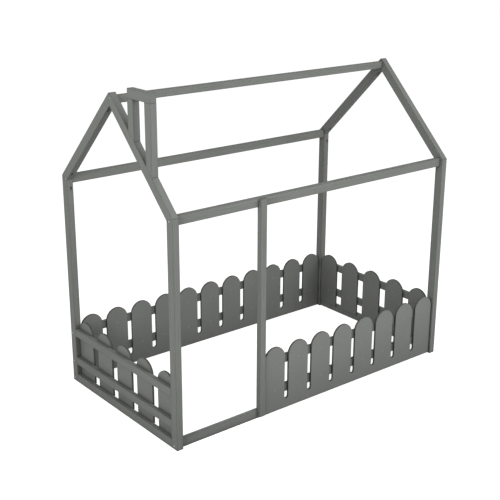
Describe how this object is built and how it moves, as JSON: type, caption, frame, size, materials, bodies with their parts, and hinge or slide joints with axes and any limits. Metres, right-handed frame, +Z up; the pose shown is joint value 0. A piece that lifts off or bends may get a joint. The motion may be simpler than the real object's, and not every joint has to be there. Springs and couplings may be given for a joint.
{
  "type": "house frame bed",
  "caption": "Floor-standing child's bed frame shaped like a house outline, with an arched picket fence, a way in at one front corner and a small chimney.",
  "frame": {"origin": "on the floor, under the middle of the bed's outer box", "axes": "+X along the bed away from the gable with the chimney, +Y from the side with the way in to the closed side, +Z up"},
  "size_m": [1.99, 1.08, 1.847],
  "materials": {
    "painted_wood": "matte grey paint",
    "painted_board": "matte grey paint",
    "zinc_steel": "zinc plated",
    "dowel_wood": "bare beech"
  },
  "bodies": {
    "root": {"post_front_left": "painted_wood", "post_back_left": "painted_wood", "post_front_right": "painted_wood", "post_back_right": "painted_wood", "rafter_front_left": "painted_wood", "rafter_back_left": "painted_wood", "rafter_front_right": "painted_wood", "rafter_back_right": "painted_wood", "eave_beam_front": "painted_wood", "eave_beam_back": "painted_wood", "ridge_beam": "painted_wood", "sill_front": "painted_wood", "sill_back": "painted_wood", "sill_left": "painted_wood", "sill_right": "painted_wood", "middle_post": "painted_wood", "rail_front_middle": "painted_wood", "rail_front_top": "painted_wood", "rail_back_middle": "painted_wood", "rail_back_top": "painted_wood", "rail_left_middle": "painted_wood", "rail_left_top": "painted_wood", "rail_right_middle": "painted_wood", "rail_right_top": "painted_wood", "chimney_post_front": "painted_wood", "chimney_post_back": "painted_wood", "chimney_cap": "painted_wood", "fence_panel_front": "painted_board", "fence_panel_back": "painted_board", "fence_panel_left": "painted_board", "fence_panel_right": "painted_board", "eave_joint_screws": "zinc_steel", "apex_joint_screws": "zinc_steel", "chimney_screws": "zinc_steel", "middle_post_screws": "zinc_steel", "beam_bolts": "zinc_steel", "sill_bolts": "zinc_steel", "rail_bolts": "zinc_steel", "beam_cross_nuts": "zinc_steel", "sill_cross_nuts": "zinc_steel", "rail_cross_nuts": "zinc_steel", "end_rail_dowels": "dowel_wood", "chimney_dowels": "dowel_wood"}
  },
  "joints": []
}
